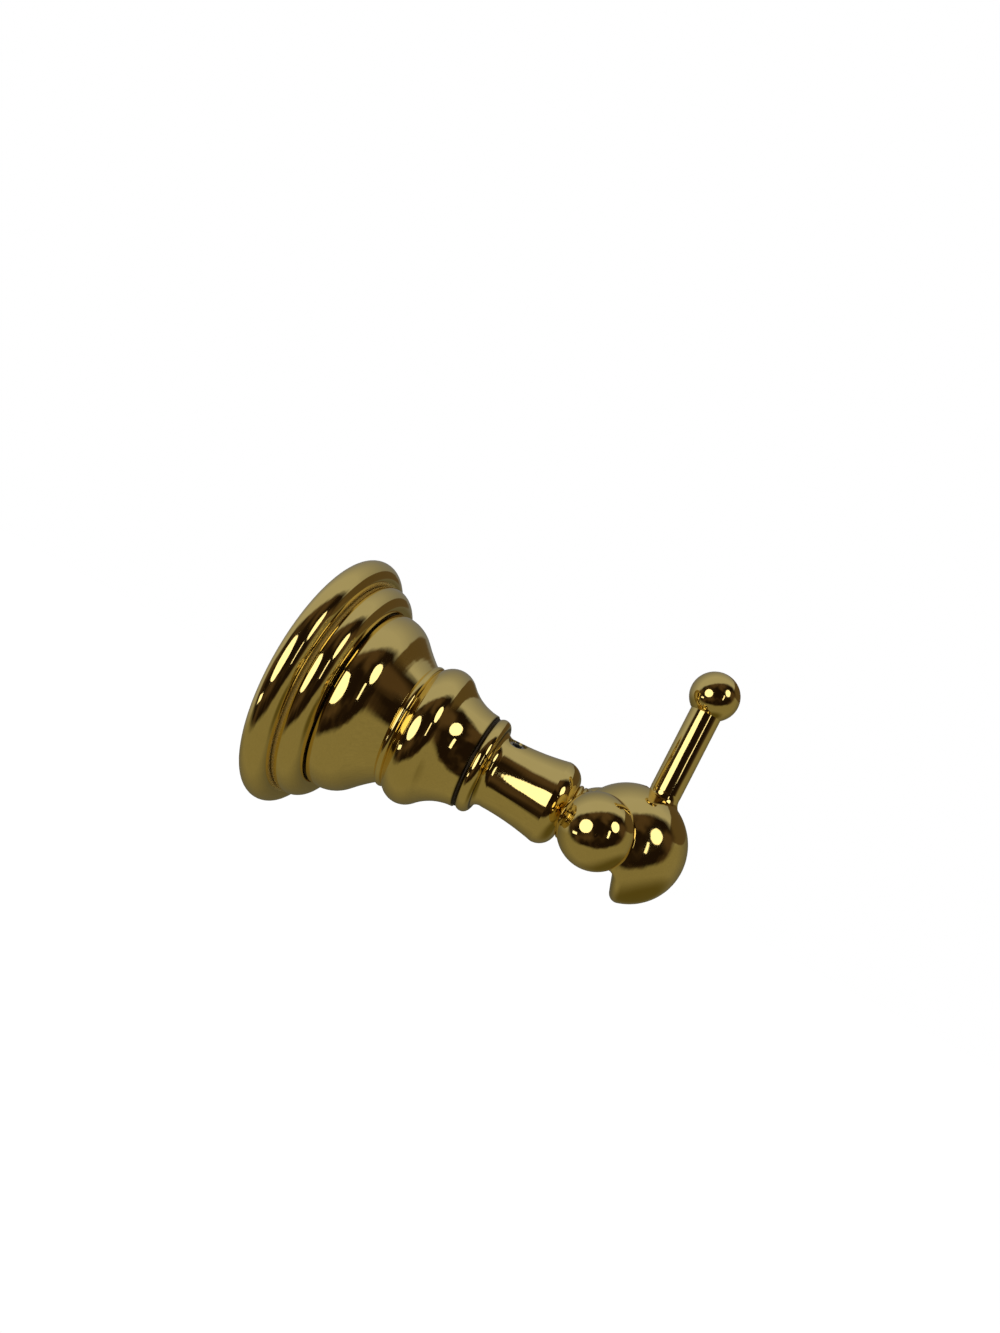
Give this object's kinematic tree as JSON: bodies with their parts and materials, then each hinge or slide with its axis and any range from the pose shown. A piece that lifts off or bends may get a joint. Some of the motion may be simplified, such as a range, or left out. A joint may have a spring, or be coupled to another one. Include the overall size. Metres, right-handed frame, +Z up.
{
  "type": "robe hook",
  "caption": "Wall robe hook in polished brass: a turned, stepped rosette and flared post carry a ball with side knobs and an upright pin that keeps a robe's loop on the post.",
  "frame": {"origin": "centre of the rosette's back, on the wall", "axes": "-Y out from the wall along the post, +Z up along the pin, +X to the right seen from the room"},
  "size_m": [0.0556, 0.0849, 0.0665],
  "materials": {
    "polished_brass": "mirror polished",
    "zinc_plated_steel": "plated"
  },
  "bodies": {
    "root": {"rosette": "polished_brass", "spigot": "polished_brass", "post": "polished_brass", "hook_body": "polished_brass", "pin": "polished_brass", "wall_plate": "zinc_plated_steel", "set_screw": "zinc_plated_steel"}
  },
  "joints": []
}
